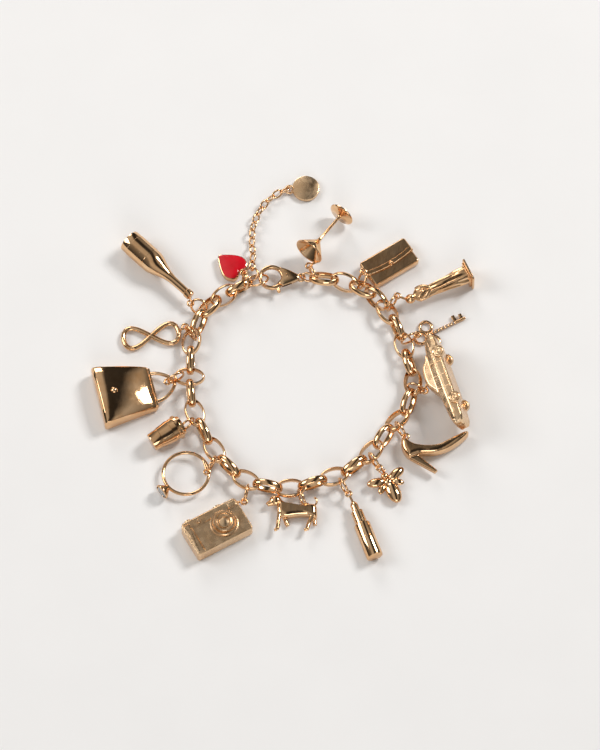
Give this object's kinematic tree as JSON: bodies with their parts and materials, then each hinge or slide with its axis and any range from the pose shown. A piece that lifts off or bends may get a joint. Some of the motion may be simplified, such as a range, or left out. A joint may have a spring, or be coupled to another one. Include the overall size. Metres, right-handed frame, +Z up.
{
  "type": "charm bracelet",
  "caption": "Charm bracelet of oval belcher links with a lobster clasp, a short extender and a tag, hung with solid charms on jump rings.",
  "frame": {"origin": "centre of the bounding box, on the surface that the bracelet lies on", "axes": "+Z up from that surface, +Y away from the viewer towards the extender and tag, +X to the viewer's right"},
  "size_m": [0.1014, 0.1122, 0.0115],
  "materials": {
    "gold": "polished warm gold plate",
    "red_enamel": "glossy red enamel",
    "clear_stone": "clear cut stone"
  },
  "bodies": {
    "bracelet": {"link_01": "gold", "link_02": "gold", "link_03": "gold", "link_04": "gold", "link_05": "gold", "link_06": "gold", "link_07": "gold", "link_08": "gold", "link_09": "gold", "link_10": "gold", "link_11": "gold", "link_12": "gold", "link_13": "gold", "link_14": "gold", "link_15": "gold", "link_16": "gold", "link_17": "gold", "link_18": "gold", "link_19": "gold", "link_20": "gold", "link_21": "gold", "link_22": "gold", "link_23": "gold", "link_24": "gold", "link_25": "gold", "link_26": "gold", "link_27": "gold", "link_28": "gold", "link_29": "gold", "link_30": "gold", "link_31": "gold", "charm_martini_glass": "gold", "charm_clutch": "gold", "charm_figure": "gold", "charm_key": "gold", "charm_car": "gold", "charm_shoe": "gold", "charm_bee": "gold", "charm_lipstick": "gold", "charm_dog": "gold", "charm_camera": "gold", "charm_ring": "gold", "charm_cup": "gold", "charm_handbag": "gold", "charm_infinity": "gold", "charm_bottle": "gold", "charm_heart": "gold", "clasp_body": "gold", "clasp_ring": "gold", "end_ring": "gold", "extender_ring": "gold", "extender_chain": "gold", "tag_disc": "gold", "ring_stone": "clear_stone", "heart_enamel": "red_enamel"},
    "lever": {"clasp_lever": "gold"}
  },
  "joints": [
    {"name": "clasp_hinge", "type": "hinge", "parent": "bracelet", "child": "lever", "pos_m": [0.00109, 0.02582, 0.00235], "axis": [0, 0, -1], "range_deg": [0, 15], "stiffness_Nm_per_rad": 0.003, "springref_deg": -11.46}
  ]
}
